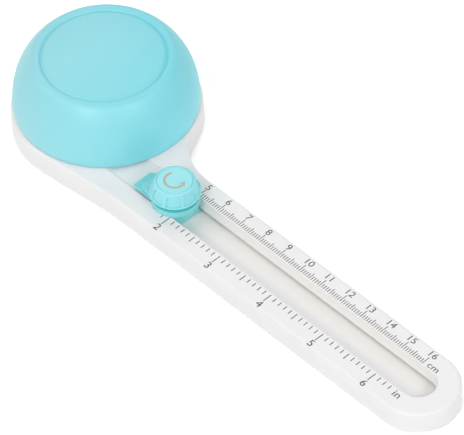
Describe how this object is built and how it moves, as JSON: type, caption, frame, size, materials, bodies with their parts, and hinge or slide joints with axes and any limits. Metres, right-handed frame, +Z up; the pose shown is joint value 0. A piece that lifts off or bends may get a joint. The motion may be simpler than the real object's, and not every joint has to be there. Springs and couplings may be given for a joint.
{
  "type": "circle cutter",
  "caption": "Circle cutter: a rounded palm grip on a non-slip foot, a flat slotted arm with scales that turns round it, and a lockable carriage with a sprung blade button.",
  "frame": {"origin": "on the pivot's axis, in the plane that the non-slip pad and the tip feet stand on", "axes": "+X along the arm towards its tip, +Y towards the centimetre scale's side, +Z up"},
  "size_m": [0.2195, 0.0676, 0.0347],
  "materials": {
    "teal_plastic": "satin",
    "white_plastic": "satin",
    "bearing_plastic": "satin",
    "rubber": "matte",
    "steel": "brushed",
    "blade_steel": "ground",
    "scale_print": "printed",
    "arrow_print": "printed"
  },
  "bodies": {
    "base": {"non_slip_pad": "rubber", "foot_disc": "white_plastic", "lower_thrust_washer": "bearing_plastic", "upper_thrust_washer": "bearing_plastic", "palm_dome": "teal_plastic", "dome_top_cap": "teal_plastic", "pivot_screw": "steel", "pivot_screw_washer": "steel"},
    "arm": {"arm_top_shell": "white_plastic", "arm_bottom_plate": "white_plastic", "hub_bushing": "bearing_plastic", "arm_screw_1": "steel", "arm_screw_2": "steel", "arm_screw_3": "steel", "arm_screw_4": "steel", "arm_screw_5": "steel", "arm_screw_6": "steel", "tip_foot_1": "rubber", "tip_foot_2": "rubber"},
    "carriage": {"carriage_body": "teal_plastic", "clamp_washer": "bearing_plastic"},
    "lever": {"lock_lever": "teal_plastic"},
    "button": {"press_button": "teal_plastic", "blade_holder": "white_plastic", "blade": "blade_steel", "blade_screw": "steel", "return_spring": "steel"}
  },
  "joints": [
    {"name": "arm_swivel", "type": "hinge", "parent": "base", "child": "arm", "pos_m": [0, 0, 0], "axis": [0, 0, 1], "continuous": true},
    {"name": "carriage_slide", "type": "slide", "parent": "arm", "child": "carriage", "axis": [1, 0, 0], "range_m": [0, 0.1145]},
    {"name": "lock_lever_turn", "type": "hinge", "parent": "carriage", "child": "lever", "pos_m": [0.052, -0.01535, 0.011], "axis": [0, 0, 1], "range_deg": [0, 70]},
    {"name": "button_press", "type": "slide", "parent": "carriage", "child": "button", "axis": [0, 0, -1], "range_m": [0, 0.0015], "stiffness_N_per_m": 600, "springref_m": -0.001, "deforming": ["return_spring"]}
  ]
}
